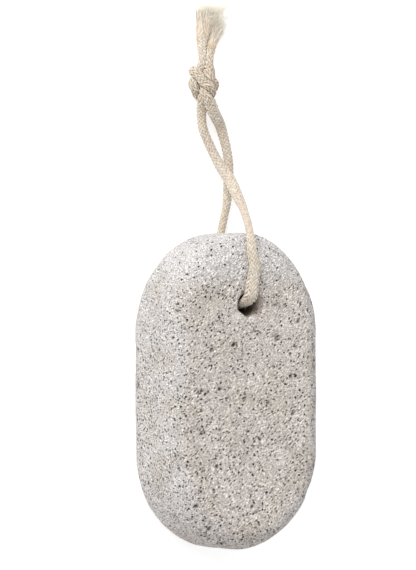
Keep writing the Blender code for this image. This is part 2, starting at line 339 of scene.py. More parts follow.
def looseKnot():
    # an overhand knot in a doubled cord, tied loosely, in the camera's own directions
    along = np.linspace(-2, 2, 400)
    middle = np.stack([3 * along - along ** 3, along ** 4 - 4 * along ** 2,
                       along ** 5 / 5 - 2 * along], 1) * knot["scale"]
    middle[:, 1] -= middle[:, 1].mean()
    far = knot["lead"] + 6
    share = np.linspace(0, 1, 40)[:, None]
    leadIn = np.array([[0, 0, -far]]) * (1 - share) + middle[0] * share
    leadOut = middle[-1] * (1 - share) + np.array([[0, 0, far]]) * share
    middle = evenSteps(np.vstack([leadIn[:-1], middle, leadOut[1:]]), count=knot["points"])
    side, other = sideways(middle)
    turn = np.linspace(0, knot["twist"], knot["points"])[:, None]
    offset = (side * np.cos(turn) + other * np.sin(turn)) * knot["touch"] / 2
    both = np.stack([middle + offset, middle - offset])
    spin = turnAbout("Z", knot["spin"]).T
    roll = turnAbout("Y", -knot["roll"]).T
    return both @ spin @ roll


def tieKnot(bottoms, tops):
    # draws the loose knot tight: each strand pulls straight, and no two come too near
    lean = math.radians(view["tilt"])
    axes = np.array([(math.cos(lean), 0, math.sin(lean)), (-math.sin(lean), 0, math.cos(lean)),
                     (0, 1, 0)])
    centre = np.array(knot["centre"])
    strands = looseKnot() @ axes + centre
    count = knot["points"]
    number = np.arange(2 * count)
    sameStrand = number[:, None] // count == number[None, :] // count
    goal = np.stack([bottoms, tops], 1)
    start = strands[:, [0, -1]].copy()
    for turn in range(knot["rounds"]):
        strands[:, 1:-1] += knot["pull"] * (strands[:, :-2] + strands[:, 2:]
                                            - 2 * strands[:, 1:-1])
        if turn > knot["rounds"] / 2:
            local = (strands - centre) @ axes.T
            near = np.clip(1.5 - np.abs(local[..., 2:]) / knot["squeezeReach"], 0, 1)
            local[..., :2] *= 1 - knot["squeeze"] * near
            strands = local @ axes + centre
        moved = smoothStep(turn / knot["rounds"], 0, knot["moving"])
        if turn % knot["evened"] == 0:
            strands = np.stack([evenSteps(path, count=count) for path in strands])
            spacing = min(travelled(path)[-1] for path in strands) / (count - 1)
            own = math.ceil(knot["touch"] * 1.35 / spacing)
            apart = ~(sameStrand & (np.abs(number[:, None] - number[None, :]) < own))
        for _ in range(3):
            places = keepApart(strands.reshape(-1, 3), apart, knot["touch"])
            if turn > knot["floorFrom"] * knot["rounds"]:
                places[:, 2] = np.maximum(places[:, 2], knot["floor"])
            strands = places.reshape(2, count, 3)
            strands[:, [0, -1]] = start * (1 - moved) + goal * moved
    return shapeLobes(strands, centre, axes)


def shapeLobes(strands, centre, axes):
    # raises the knot's lower left lobe and draws its upper right one down and out
    local = (strands - centre) @ axes.T
    across, above = local[..., 0], local[..., 2]
    near = 1 - smoothStep(np.abs(above), *knot["lobesAt"])
    left = smoothStep(-across, *knot["leftLobe"]) * (above < 0) * near
    right = smoothStep(across, *knot["rightLobe"]) * near
    local[..., 2] = above * (1 - knot["raised"] * left - knot["lowered"] * right * (above > 0))
    local[..., 0] = across * (1 + knot["drawnOut"] * right)
    return local @ axes + centre


def keepApart(places, apart, touch):
    # pushes points of the cord away from each other where they are nearer than touch
    square = (places ** 2).sum(1)
    gaps = square[:, None] + square[None, :] - 2 * places @ places.T
    one, other = np.nonzero(apart & (gaps < touch * touch))
    if not len(one):
        return places
    apartBy = places[one] - places[other]
    length = np.sqrt((apartBy ** 2).sum(1)) + 1e-9
    push = apartBy * ((touch - length) / length)[:, None] / 2
    total = np.stack([np.bincount(one, weights=push[:, axis], minlength=len(places))
                      for axis in range(3)], 1)
    pushes = np.maximum(np.bincount(one, minlength=len(places)), 1)
    return places + total / pushes[:, None] * knot["push"]


def easeJoins(path, joins):
    # rounds off the bends where two stretches of the route meet
    for join in joins:
        gaps = np.linalg.norm(path - join, axis=1)
        weight = np.clip(1 - gaps / knot["easeReach"], 0, 1)[1:-1, None]
        for _ in range(knot["easeRounds"]):
            path[1:-1] += weight * 0.5 * (path[:-2] + path[2:] - 2 * path[1:-1])
    return path


def layCord():
    # each half of the loop from the middle of the hole, then the knot and a tail
    loop = smoothRoute(loopRoute, cord["step"])
    middle = np.argmin(np.linalg.norm(loop - np.array(cord["holeMiddle"]), axis=1))
    leads = [half[half[:, 1] < knot["bottom"]] for half in (loop[middle::-1], loop[middle:])]
    tails = []
    for route, end in zip((tailLeftRoute, tailRightRoute), cord["tailEnds"]):
        tail = smoothRoute(route, cord["step"])
        tails.append(tail[(tail[:, 1] > knot["top"]) & (tail[:, 1] < end)])
    tied = tieKnot([lead[-1] for lead in leads], [tail[0] for tail in tails])
    paths = []
    for lead, strand, tail in zip(leads, tied, tails):
        path = evenSteps(np.vstack([lead, strand[1:-1], tail]), cord["step"])
        path = easeJoins(path, (lead[-1], tail[0]))
        paths.append(evenSteps(path, cord["step"]))
    return paths


def slip(path, slips, free):
    for middle, shift, length in slips:
        bump = np.exp(-((path[:, 1] - middle) / length) ** 2)
        path[:, 0] += np.where(free, shift * bump, 0)


def settleOn(stoneMesh, paths):
    # the strands slip a little sideways, and the front one lies against the stone's face
    tree = surfaceTree(stoneMesh)
    front, back = paths
    onFace = (front[:, 1] < lie["onFace"][0]) & (front[:, 2] > lie["onFace"][1])
    slip(front, lie["frontSlips"], front[:, 1] > lie["slipStart"])
    slip(back, lie["backSlips"], beforeKnot(back))
    share = between(front[:, 1], *lie["overFaceAt"])
    moves = np.zeros_like(front)
    for number in np.nonzero(onFace)[0]:
        _, normal, _, distance = tree.find_nearest(Vector(front[number]))
        moves[number] = np.array(normal) * (lie["overFace"] - distance) * share[number]
    front += smoothAlong(moves, 12)
    back[:, 0] += lie["backShift"] * between(back[:, 1], *lie["backShiftAt"])
    tail = travelled(back) > travelled(back)[-1] - lie["tailLength"]
    more = 1 + lie["tailMore"] * smoothStep(back[:, 1], *lie["moreAt"])
    drawnIn = smoothStep(back[:, 1], *lie["tailAt"]) * more
    back[:, 0] -= np.where(tail, lie["tailShift"] * drawnIn, 0)
    return [evenSteps(path, cord["step"]) for path in (front, back)]


def sectionDirections(path):
    side, other = sideways(path)
    angles = np.arange(cord["sections"]) * 2 * math.pi / cord["sections"]
    return (side[:, None] * np.cos(angles)[None, :, None]
            + other[:, None] * np.sin(angles)[None, :, None])


def roomAround(paths):
    # how far each point of the cord can spread, in every direction round it, before it
    # meets another strand halfway or reaches the floor
    places = np.vstack(paths)
    stationLists = [travelled(path) * way for path, way in zip(paths, (-1, 1))]
    allStations = np.concatenate(stationLists)
    rooms = []
    for path, stations in zip(paths, stationLists):
        directions = sectionDirections(path)
        room = np.full(directions.shape[:2], np.inf)
        for spot, centre in enumerate(path):
            offset = places - centre
            square = (offset ** 2).sum(1)
            own = np.abs(allStations - stations[spot]) < cord["ownReach"]
            near = (square < cord["lookArea"]) & ~own
            if near.any():
                towards = np.maximum(offset[near] @ directions[spot].T, 1e-6)
                room[spot] = (square[near][:, None] / (2 * towards)).min(0)
            down = np.maximum(-directions[spot][:, 2], 1e-6)
            room[spot] = np.minimum(room[spot], (centre[2] - cord["floorGap"]) / down)
        rooms.append(np.minimum(room, cord["openRoom"]))
    return rooms


def smoothAlong(values, rounds):
    for _ in range(rounds):
        values = values.copy()
        values[1:-1] = (values[:-2] + 2 * values[1:-1] + values[2:]) / 4
    return values


def mouthSpread(path):
    # the cord flattens where it is drawn over the stone and into the hole
    onStone = (path[:, 2] > cord["onStone"][1]) & (path[:, 1] < cord["onStone"][0])
    return np.where(onStone, 1 - smoothStep(path[:, 1], *cord["flatAt"]), 0)


def fullness(path, pulled, swell):
    # thinner where the cord is drawn tight, fuller in the knot and where it comes loose
    along = path[:, 1]
    flatter = np.where(beforeKnot(path), np.exp(-((along - swell[0]) / swell[2]) ** 2), 0)
    return (1 - pulled * between(along, *cord["pulledAt"])
            + cord["knotted"] * between(along, *cord["knottedAt"])
            + cord["loosened"] * smoothStep(along, *cord["loosenedAt"]) + swell[1] * flatter)


def sectionReach(path, room, number):
    full = fullness(path, cord["pulled"][number], cord["swells"][number])
    plain = cord["diameter"] / 2 * full[:, None]
    spread = smoothAlong(mouthSpread(path), 30)[:, None]
    directions = sectionDirections(path)
    across = directions[:, :, 0] ** 2
    wide = plain * (1 + cord["flatWider"] * spread)
    thick = plain * (1 - cord["flatThinner"] * spread)
    reach = 1 / np.sqrt(across / wide ** 2 + (1 - across) / thick ** 2)
    pressed = np.minimum(reach, room)
    for _ in range(4):
        share = np.sqrt((reach ** 2).mean(1) / (pressed ** 2).mean(1))
        swell = np.clip(share, 1, cord["widest"])[:, None]
        pressed = np.minimum(reach * swell, room)
        around = (np.roll(pressed, 1, 1) + 2 * pressed + np.roll(pressed, -1, 1)) / 4
        pressed = np.minimum(pressed, around)
    return smoothAlong(pressed, 3)


braid = {
    "yarns": 12,  # each way round
    "lay": 15,  # length of cord in which a yarn goes once round
    "yarnRadius": 0.36,
    "dip": 0.2,  # half of the way in and out, as yarns cross
    "crossing": 1.35,  # how quickly they change places
    "flatness": 0.72, "width": 1.02, "lowest": 0.02,
    "covering": (0.85, 1.35),  # the thinnest and thickest yarns, as the cord needs them
    "wobble": 0.06, "uneven": 0.1,  # in turn and in thickness, from yarn to yarn
    "coreSink": 0.5, "coreEnd": 5,
    "frayLength": 9,
    "unwound": 2.5,  # length in which the yarns stop going round
    "splayed": 0.4, "strays": ((-1, 1), (-0.4, 0), (-0.5, 1)), "strayed": 0.6,
    "brushed": 0.18, "thinned": 0.7, "lifted": 0.3,
    "pressed": (0.8, 1.7), "sunk": (0.1, 0.45),  # what the material takes as hemmed in, for painted light, and deep, for painted shade
}
fray = {
    "fibres": 760, "points": 9, "radii": (0.055, 0.1), "thinned": 0.45,
    "start": 10.5, "starts": (0.3, 1),  # how far back from the end they start
    "past": 2.6, "ends": (-1.1, 1),  # and how far past it they end
    "sweep": ((7.4, 0.2, 1.6), (1.4, 0.3, 0.8)),  # which way each end's fibres are brushed
    "spread": (0.25, 1.05), "turned": 0.5, "opened": 0.25, "bend": 1.8,
    # how much painted shade the roots of the fibres get
    "sways": ((-0.5, 0.5), (-0.3, 0.5)), "lifted": 0.12, "rootDepth": 0.75,
}
fuzz = {
    "fibres": 520, "points": 5, "length": (0.7, 2.0), "radii": (0.018, 0.03), "thinned": 0.4,
    "lean": 1.4, "ahead": 1.6, "laid": 0.45, "curl": (0.25, 0.9), "rooted": 0.35, "lifted": 0.05,
    # how much painted shade the roots of the fibres get
    "rootDepth": 0.75,
}


def tubeMesh(name, lines, radius, roundness, radii=None):
    # one smooth tube along each line of points
    curve = bpy.data.curves.new(name, "CURVE")
    curve.dimensions = "3D"
    curve.bevel_depth = radius
    curve.bevel_resolution = roundness
    for number, line in enumerate(lines):
        spline = curve.splines.new("POLY")
        spline.points.add(len(line) - 1)
        flat = np.ones((len(line), 4), np.float32)
        flat[:, :3] = line
        spline.points.foreach_set("co", flat.ravel())
        if radii is not None:
            spline.points.foreach_set("radius", np.asarray(radii[number], np.float32))
    return bakedMesh(linkObject(name, curve))


def closeEnds(mesh):
    shape = bmesh.new()
    shape.from_mesh(mesh)
    rims = [edge for edge in shape.edges if edge.is_boundary]
    bmesh.ops.holes_fill(shape, edges=rims, sides=0)
    shape.to_mesh(mesh)
    shape.free()


def joined(name, meshes):
    # several meshes as one, keeping their point values
    shape = bmesh.new()
    for mesh in meshes:
        shape.from_mesh(mesh)
    whole = bpy.data.meshes.new(name)
    shape.to_mesh(whole)
    shape.free()
    return whole


def aroundLookup(table, angle):
    # reads a value for each angle, in radians, from a table with one row a point
    count = table.shape[1]
    position = (angle / (2 * math.pi)) * count
    low = np.floor(position).astype(int)
    share = position - low
    row = np.arange(len(table))
    row = row[:, None] if angle.ndim > 1 else row
    return table[row, low % count] * (1 - share) + table[row, (low + 1) % count] * share


def anglesRound(path, offset):
    # the angle round the path of each place, given as its offset from the path
    side, other = sideways(path)
    return np.arctan2((offset * other[:, None]).sum(-1), (offset * side[:, None]).sum(-1))


def yarnLines(path, reach, sweep, chance):
    side, other = sideways(path)
    stations = travelled(path)
    count = braid["yarns"]
    covering = np.clip(reach.mean(1) / (cord["diameter"] / 2), *braid["covering"])
    held = stations[-1] - braid["frayLength"]
    past = np.maximum(stations - held, 0)
    unwound = braid["unwound"]
    turned = np.where(stations < held, stations, held + unwound * (1 - np.exp(-past / unwound)))
    loose = np.clip((stations - stations[-1]) / braid["frayLength"] + 1, 0, 1)[:, None]
    lines = []
    radii = []
    for way in (1, -1):
        for number in range(count):
            angle = way * 2 * math.pi * turned / braid["lay"] + 2 * math.pi * number / count
            angle = angle + braid["wobble"] * np.sin(stations / 2.3 + number * 2.4)
            crossing = 2 * number + way * 2 * count * turned / braid["lay"]
            wave = way * np.cos(2 * math.pi * (crossing - 0.5) / 4)
            wave = np.clip(wave * braid["crossing"], -1, 1)
            outward = side * np.cos(angle)[:, None] + other * np.sin(angle)[:, None]
            edge = aroundLookup(reach, angle)
            height = edge - braid["yarnRadius"] - braid["dip"] + wave * braid["dip"]
            stray = np.array([chance.uniform(*span) for span in braid["strays"]])
            brushed = np.array(sweep) * braid["brushed"] * chance.random()
            line = path + outward * (height[:, None] + loose ** 1.6 * braid["splayed"])
            line = line + (stray * braid["strayed"] + brushed) * loose ** 2
            line[:, 2] = np.maximum(line[:, 2], braid["lifted"])
            lines.append(line)
            thickness = 1 + braid["uneven"] * math.sin(number * 3.7) - braid["thinned"] * loose[:, 0]
            radii.append(thickness * covering)
    return lines, radii


def flattenYarns(mesh, path, count):
    # yarns pressed against the cord: thinner outward and wider sideways
    rings = vertexPlaces(mesh).reshape(count, len(path), -1, 3)
    centres = rings.mean(2, keepdims=True)
    outward = centres - path[:, None]
    outward /= np.linalg.norm(outward, axis=3, keepdims=True) + 1e-9
    offset = rings - centres
    lift = outward * (offset * outward).sum(3, keepdims=True)
    rings = centres + lift * braid["flatness"] + (offset - lift) * braid["width"]
    rings[..., 2] = np.maximum(rings[..., 2], braid["lowest"])
    setVertexPlaces(mesh, rings.reshape(-1, 3))


def coreMesh(path, reach):
    # the tube inside the yarns, following the pressed cross-sections
    mesh = tubeMesh("core", [path], 1, 10)
    offset = vertexPlaces(mesh).reshape(len(path), -1, 3) - path[:, None]
    edge = aroundLookup(reach, anglesRound(path, offset)) - braid["coreSink"]
    setVertexPlaces(mesh, path[:, None] + offset * np.maximum(edge, 0.2)[..., None])
    return mesh


def markTubes(mesh, path, room, reach, count, thread):
    # what the material reads: how hemmed in each point is, for painted light, and how deep,
    # for painted shade, which yarn it is, and the yarn's own length and round
    offset = vertexPlaces(mesh).reshape(count, len(path), -1, 3) - path[None, :, None]
    angle = anglesRound(path, offset)
    near = aroundLookup(room, angle) / (cord["diameter"] / 2)
    deep = aroundLookup(reach, angle) - np.linalg.norm(offset, axis=3)
    sides = angle.shape[2]
    setVertexValues(mesh, hemmed=1 - smoothStep(near, *braid["pressed"]),
                    sunk=smoothStep(deep, *braid["sunk"]), plied=np.ones(angle.size),
                    thread=thread + np.repeat(np.arange(count), len(path) * sides) * 0.37 % 1)
    markAlong(mesh, np.tile(np.repeat(travelled(path), sides), count), sides)


def markAlong(mesh, along, sides):
    # a UV map with the length along the tube, in millimetres, and the way round it
    layer = mesh.uv_layers.new(name="UVMap")
    corners = np.empty(len(mesh.loops), int)
    mesh.loops.foreach_get("vertex_index", corners)
    around = (corners % sides).reshape(-1, 4) / sides
    wraps = (around.max(1) - around.min(1) > 0.5)[:, None]
    around = np.where(wraps & (around < 0.5), around + 1, around)
    pairs = np.stack([along[corners], around.ravel()], 1).astype(np.float32)
    layer.data.foreach_set("uv", pairs.ravel())


def strayFibres(path, reach, chance):
    # short fibres that stand off the cord
    side, other = sideways(path)
    ahead = np.gradient(path, axis=0)
    share = np.linspace(0, 1, fuzz["points"])[:, None]
    for _ in range(fuzz["fibres"]):
        row = chance.randrange(4, len(path) - 4)
        angle = chance.uniform(0, 2 * math.pi)
        outward = side[row] * math.cos(angle) + other[row] * math.sin(angle)
        onward = ahead[row] / np.linalg.norm(ahead[row])
        around = np.cross(onward, outward) * chance.uniform(-fuzz["lean"], fuzz["lean"])
        heading = onward * chance.uniform(-fuzz["ahead"], fuzz["ahead"]) + around
        length = chance.uniform(*fuzz["length"])
        start = path[row] + outward * (reach[row].mean() - fuzz["rooted"])
        curl = chance.uniform(*fuzz["curl"])
        yield start + (heading * share * fuzz["laid"] + outward * share ** 0.7 * curl) * length


def endFibres(path, reach, sweep, chance):
    # the yarns come apart towards the end of the cord and are brushed to one side
    ahead = path[-1] - path[-4]
    ahead /= np.linalg.norm(ahead)
    longer = np.vstack([path, path[-1] + ahead * np.linspace(0.4, 4, 10)[:, None]])
    stations = travelled(longer)
    total = travelled(path)[-1]
    tables = (longer, *sideways(longer))
    radius = reach[-30:].mean()
    share = np.linspace(0, 1, fray["points"])
    bend = (share ** fray["bend"])[:, None]
    for _ in range(fray["fibres"]):
        start = total - fray["start"] * chance.uniform(*fray["starts"])
        end = total + fray["past"] * chance.uniform(*fray["ends"])
        angle = chance.uniform(0, 2 * math.pi)
        out = radius * math.sqrt(chance.uniform(*fray["spread"]))
        place, first, second = [atStations(start + (end - start) * share, stations, table)
                                for table in tables]
        turn = angle + share * chance.uniform(-fray["turned"], fray["turned"])
        outward = first * np.cos(turn)[:, None] + second * np.sin(turn)[:, None]
        brushed = max(0, chance.random() * 1.25 - 0.25) * (0.45 + 0.55 * (outward[0, 0] > 0))
        across, upward = [chance.uniform(*span) for span in fray["sways"]]
        moved = np.array(sweep) * brushed + np.array([across, 0, upward])
        yield place + outward * out * (1 + fray["opened"] * bend) + moved * bend


def fibreMesh(name, kind, fibres, chance):
    lines = []
    radii = []
    for line in fibres:
        line[:, 2] = np.maximum(line[:, 2], kind["lifted"])
        lines.append(line)
        thickness = chance.uniform(*kind["radii"]) / kind["radii"][1]
        radii.append(np.linspace(1, kind["thinned"], kind["points"]) * thickness)
    mesh = tubeMesh(name, lines, kind["radii"][1], 0, radii)
    sides = len(mesh.vertices) // (len(lines) * kind["points"])
    along = np.concatenate([np.repeat(travelled(line), sides) for line in lines])
    markAlong(mesh, along, sides)
    pale = np.repeat(np.arange(len(lines)) * 0.37 % 1, kind["points"] * sides)
    tips = np.repeat(np.linspace(kind["rootDepth"], 0, kind["points"]), sides)
    setVertexValues(mesh, thread=pale, plied=np.zeros(len(along)),
                    sunk=np.tile(tips, len(lines)), hemmed=np.zeros(len(along)))
    closeEnds(mesh)
    return mesh


def plaitMesh(name, path, reach, room, sweep, chance):
    lines, radii = yarnLines(path, reach, sweep, chance)
    yarns = tubeMesh(name, lines, braid["yarnRadius"], 1, radii)
    flattenYarns(yarns, path, len(lines))
    markTubes(yarns, path, room, reach, len(lines), 0)
    inner = [table[:-braid["coreEnd"]] for table in (path, room, reach)]
    core = coreMesh(inner[0], inner[2])
    markTubes(core, *inner, 1, 0.5)
    for mesh in (yarns, core):
        closeEnds(mesh)
    stray = fibreMesh("fuzz", fuzz, strayFibres(path, reach, chance), chance)
    return joined(name, (yarns, core, stray))


stone = {
    "length": 100, "width": 55, "thickness": 29.5,
    "endReach": 32,  # how far each rounded end runs on from the straight sides
    "endFullness": (1.93, 2.0), "endPoints": 48,
    "edgeRounding": 7, "edgeSteps": 8,
    "roughStep": 1.2,  # spacing of the surface points while the block is given its form
    "fineStep": 0.42,  # and when it is finished
    "keep": 0.86,  # share of the faces kept when the worn patch is made of few
    "unevenness": 0.35, "unevennessScale": 14,
    "waver": 0.7,
    "backShare": 0.6,  # of the thickness, up which the back's own shape dies away
    "restCrown": 0.7, "restReach": (19, 36),
    "restHeight": 0.06,  # below it the surface rests on the floor and stays flat
    "noiseOrigin": (3.1, 7.7, 1.9),
    "frontFacing": (0.9, 0.99),  # how squarely up a point faces, from the sides to the front
}
hollow = {"depth": 4.3, "start": 15, "full": 25, "floorWidth": 7, "width": 25, "drift": 0.2}
hole = {
    "y": 27.3, "radius": 3.65, "mouthRadius": 4.5, "mouthDepth": 1.3, "sides": 72,
    # round the rim: angle in degrees, how far out, and over what angle
    "chips": ((203, 0.42, 11), (232, -0.30, 17), (268, 0.22, 12), (150, 0.12, 20), (335, 0.2, 14)),
    "roughness": 0.18, "roughSize": 0.9,
    "flare": 1.3,  # how deep the right side of the mouth is worn down
    "flareFacing": (0.3, 0.95), "flareRadii": (3.5, 6.0), "flareHeights": (20, 28),
    # painted shade down the hole, from these depths, and on the worn side of its mouth
    "shadeDepths": (0.2, 3.5), "flareShade": 0.75,
}


def shapeMesh(shape, name):
    bmesh.ops.recalc_face_normals(shape, faces=shape.faces)
    mesh = bpy.data.meshes.new(name)
    shape.to_mesh(mesh)
    shape.free()
    return mesh


def modified(mesh, kind, group=None, **settings):
    piece = linkObject(mesh.name, mesh)
    if group:
        piece.vertex_groups.new(name="group").add(group, 1, "REPLACE")
    modifier = piece.modifiers.new(kind.title(), kind)
    for key, value in settings.items():
        setattr(modifier, key, value)
    return bakedMesh(piece)


def remeshed(mesh, step):
    return modified(mesh, "REMESH", mode="VOXEL", voxel_size=step)


def stoneOutline():
    halfWidth = stone["width"] / 2
    sideEnd = stone["length"] / 2 - stone["endReach"]
    points = []
    for end, full in zip((1, -1), stone["endFullness"]):
        for step in range(stone["endPoints"] + 1):
            angle = math.pi * step / stone["endPoints"]
            across = math.copysign(abs(math.cos(angle)) ** (2 / full), math.cos(angle))
            along = abs(math.sin(angle)) ** (2 / full)
            points.append((end * halfWidth * across, end * (sideEnd + stone["endReach"] * along)))
    return points


def makeBlock():
    shape = bmesh.new()
    base = shape.faces.new([shape.verts.new((*point, 0)) for point in stoneOutline()])
    top = bmesh.ops.extrude_face_region(shape, geom=[base])["geom"]
    raised = [item for item in top if isinstance(item, bmesh.types.BMVert)]
    bmesh.ops.translate(shape, verts=raised, vec=(0, 0, stone["thickness"]))
    rims = [edge for edge in shape.edges if abs(edge.verts[0].co.z - edge.verts[1].co.z) < 0.3]
    bmesh.ops.bevel(shape, geom=rims, offset=stone["edgeRounding"],
                    segments=stone["edgeSteps"], profile=0.5, affect="EDGES", material=-1)
    return remeshed(shapeMesh(shape, "block"), stone["roughStep"])


def backHollow(x, y):
    beside = abs(x - hollow["drift"] * max(0, y - hole["y"]))
    across = 1 - smoothStep(beside, hollow["floorWidth"] / 2, hollow["width"] / 2)
    return hollow["depth"] * across * smoothStep(y, hollow["start"], hollow["full"])


def weather(mesh):
    # the slow unevenness of the whole stone, its hollow back and the patch it rests on
    shape = bmesh.new()
    shape.from_mesh(mesh)
    shape.normal_update()
    origin = Vector(stone["noiseOrigin"])
    scale = stone["unevennessScale"]
    for vert in shape.verts:
        x, y, z = vert.co
        backShare = 1 - smoothStep(z, 0, stone["thickness"] * stone["backShare"])
        lift = backHollow(x, y)
        crown = max(0, 1 - (x / stone["restReach"][0]) ** 2 - (y / stone["restReach"][1]) ** 2)
        swell = noise.fractal(origin + vert.co / scale, 0.8, 2.1, 3) * stone["unevenness"]
        waver = noise.noise(Vector((x, y, 0)) / (3 * scale) + origin) * stone["waver"]
        vert.co += vert.normal * swell + Vector((vert.normal.x, vert.normal.y, 0)) * waver
        vert.co.z += backShare * (lift - stone["restCrown"] * crown)
    wearFlat(shape)
    worn = shapeMesh(shape, "block")
    corners = vertexPlaces(worn)
    middle = (corners.min(0) + corners.max(0)) / 2
    worn.transform(Matrix.Translation((-middle[0], -middle[1], -corners[:, 2].min())))
    return worn


def wearFlat(shape):
    everything = shape.verts[:] + shape.edges[:] + shape.faces[:]
    cut = bmesh.ops.bisect_plane(shape, geom=everything, dist=0.005, plane_co=(0, 0, 0),
                                 plane_no=(0, 0, -1), clear_outer=True)
    rim = [item for item in cut["geom_cut"] if isinstance(item, bmesh.types.BMEdge)]
    bmesh.ops.holes_fill(shape, edges=rim, sides=0)


def holeCutter():
    top = stone["thickness"]
    profile = [
        (0, top + 2), (hole["mouthRadius"] + 1.2, top + 2), (hole["mouthRadius"], top),
        (hole["radius"] + 0.2, top - 0.5), (hole["radius"], top - hole["mouthDepth"]),
        (hole["radius"], hollow["depth"] + hole["mouthDepth"]),
        (hole["mouthRadius"], hollow["depth"] - 0.2), (hole["mouthRadius"] + 1.5, -2), (0, -2),
    ]
    shape = bmesh.new()
    verts = [shape.verts.new((radius, 0, height)) for radius, height in profile]
    edges = [shape.edges.new(pair) for pair in zip(verts, verts[1:])]
    bmesh.ops.spin(shape, geom=verts + edges, cent=(0, 0, 0), axis=(0, 0, 1),
                   angle=2 * math.pi, steps=hole["sides"], use_merge=True)
    bmesh.ops.remove_doubles(shape, verts=shape.verts, dist=0.01)
    for vert in shape.verts:
        degrees = math.degrees(math.atan2(vert.co.y, vert.co.x)) % 360
        out = vert.co.xy.length
        if out > 1:
            push = sum(far * math.exp(-((degrees - angle) / width) ** 2)
                       for angle, far, width in hole["chips"])
            push += noise.noise(vert.co * hole["roughSize"]) * hole["roughness"]
            vert.co.xy *= 1 + push / out
    bmesh.ops.translate(shape, verts=shape.verts, vec=(0, hole["y"], 0))
    return linkObject("holeCutter", shapeMesh(shape, "holeCutter"))


def drilled(mesh):
    cutter = holeCutter()
    mesh = modified(mesh, "BOOLEAN", operation="DIFFERENCE", object=cutter)
    bpy.data.objects.remove(cutter)
    return mesh


# on the face: place, radius, how drawn out, turn in degrees, and how dark the painted shade inside is
facePores = [
    (-5.5, 14.8, 0.62, 1.3, 62, 1.0), (-10.8, 0.9, 0.55, 1.1, 20, 1.0),
    (-17.1, 0.4, 0.5, 1.3, 30, 0.8), (-15.9, -0.7, 0.45, 1.0, 0, 0.8),
    (-14.8, 0.0, 0.42, 1.4, 50, 0.8), (-8.1, -2.0, 0.45, 1.5, 40, 0.7),
    (4.0, -15.0, 0.5, 1.9, -40, 0.85), (10.6, 16.7, 0.85, 1.1, 30, 0.4),
    (-13.5, 13.2, 0.7, 1.3, 35, 0.45), (6.9, -3.6, 0.45, 1.3, 30, 0.8),
    (-11.7, -23.2, 0.55, 1.2, 38, 0.8), (1.1, -36.2, 0.55, 1.3, 38, 0.7),
    (15.4, 4.7, 0.6, 1.3, 38, 0.6), (16.1, -7.1, 0.6, 1.3, 38, 0.6),
    (-18.8, -35.7, 0.6, 1.2, 20, 0.8), (-13.5, -43.0, 0.7, 1.7, 60, 0.6),
    (18.0, 22.0, 0.5, 1.3, 38, 0.7), (9.0, 8.0, 0.5, 1.6, 38, 0.4),
]
pores = {
    "tries": 165, "radii": (0.8, 1.6), "squash": (0.7, 1), "spacing": 5, "facing": 0.6,
    # dark and smallDark: how strong the painted shade in the pores is
    "seed": 21, "shrunk": 0.5, "faceSize": 1.3, "dark": (0.35, 0.7), "holeGap": 3,
    "smallCount": 1300, "smallRadii": (0.33, 0.6), "smallSeed": 8, "smallDark": (0.2, 0.6),
    "smallDrawn": 0.7, "smallDeep": (0.7, 1.2), "smallTurn": 14,
    "grainAngle": 38,  # in degrees: the way the front's pores and grain are drawn out
    "edge": (0.55, 1.2), "depth": 0.85,  # where a pore's wall lies, as shares of its radius
    "chip": (25.2, -32.6, 27.4), "chipSize": (2.4, 3.2, 2.4), "chipEdge": (0.6, 1.25),
    "chipDepth": 1.4,
}
grain = {
    "frontSize": (1.4, 0.75, 0.8), "frontHeight": 0.075,
    "sideSize": 1.0, "sideHeight": 0.05,
    "origin": (11.3, 4.1, 8.8),
}


def drawPore(chance):
    # one pore of the scatter: the ray that finds its place, its size and its turn
    half = Vector((stone["width"], stone["length"], stone["thickness"])) / 2
    sideAreas = (half.y * half.z, half.x * half.z, half.x * half.y)
    axis = chance.choices((0, 1, 2), sideAreas)[0]
    side = chance.choice((-1, 1))
    start = Vector([chance.uniform(-reach, reach) for reach in half])
    start[axis] = 2 * side * half[axis]
    heading = Vector((0, 0, 0))
    heading[axis] = -side
    radius = chance.uniform(*pores["radii"])
    size = Vector([radius * chance.uniform(*pores["squash"]) for _ in range(3)])
    return start + Vector((0, 0, half.z)), heading, size, chance.uniform(0, math.pi)


def largePores(tree):
    # the ones on the face as listed and the rest scattered, clear of the hole and each other
    chance = random.Random(pores["seed"])
    found = []
    for x, y, radius, drawnOut, turn, dark in facePores:
        hit, normal = tree.ray_cast(Vector((x, y, 60)), Vector((0, 0, -1)))[:2]
        size = Vector((drawnOut ** 0.5, 1 / drawnOut ** 0.5, 1)) * radius * pores["faceSize"]
        found.append((hit, normal, size, math.radians(turn), dark))
    for _ in range(pores["tries"]):
        start, heading, size, turn = drawPore(chance)
        hit, normal = tree.ray_cast(start, heading)[:2]
        if hit is None or -normal.dot(heading) < pores["facing"]:
            continue
        nearHole = math.hypot(hit.x, hit.y - hole["y"]) < hole["mouthRadius"] + pores["holeGap"]
        low = hit.z < stone["edgeRounding"] / 2
        if low or nearHole or any((hit - other[0]).length < pores["spacing"] for other in found):
            continue
        dark = chance.uniform(*pores["dark"])
        found.append((hit, normal, size * pores["shrunk"], turn, dark))
    return found


def smallPores(places, normals, frontShare):
    chance = random.Random(pores["smallSeed"])
    least, most = pores["smallRadii"]
    spread = pores["smallTurn"]
    found = []
    for number in chance.sample(range(len(places)), pores["smallCount"]):
        radius = least + (most - least) * chance.random() ** 3
        stretch = 1 + pores["smallDrawn"] * frontShare[number] * chance.random()
        deep = chance.uniform(*pores["smallDeep"])
        size = Vector((radius * stretch, radius / stretch ** 0.5, radius * deep))
        turn = math.radians(pores["grainAngle"] + chance.uniform(-spread, spread))
        if places[number][2] > 1:
            found.append((Vector(places[number]), Vector(normals[number]), size, turn,
                          chance.uniform(*pores["smallDark"])))
    return found


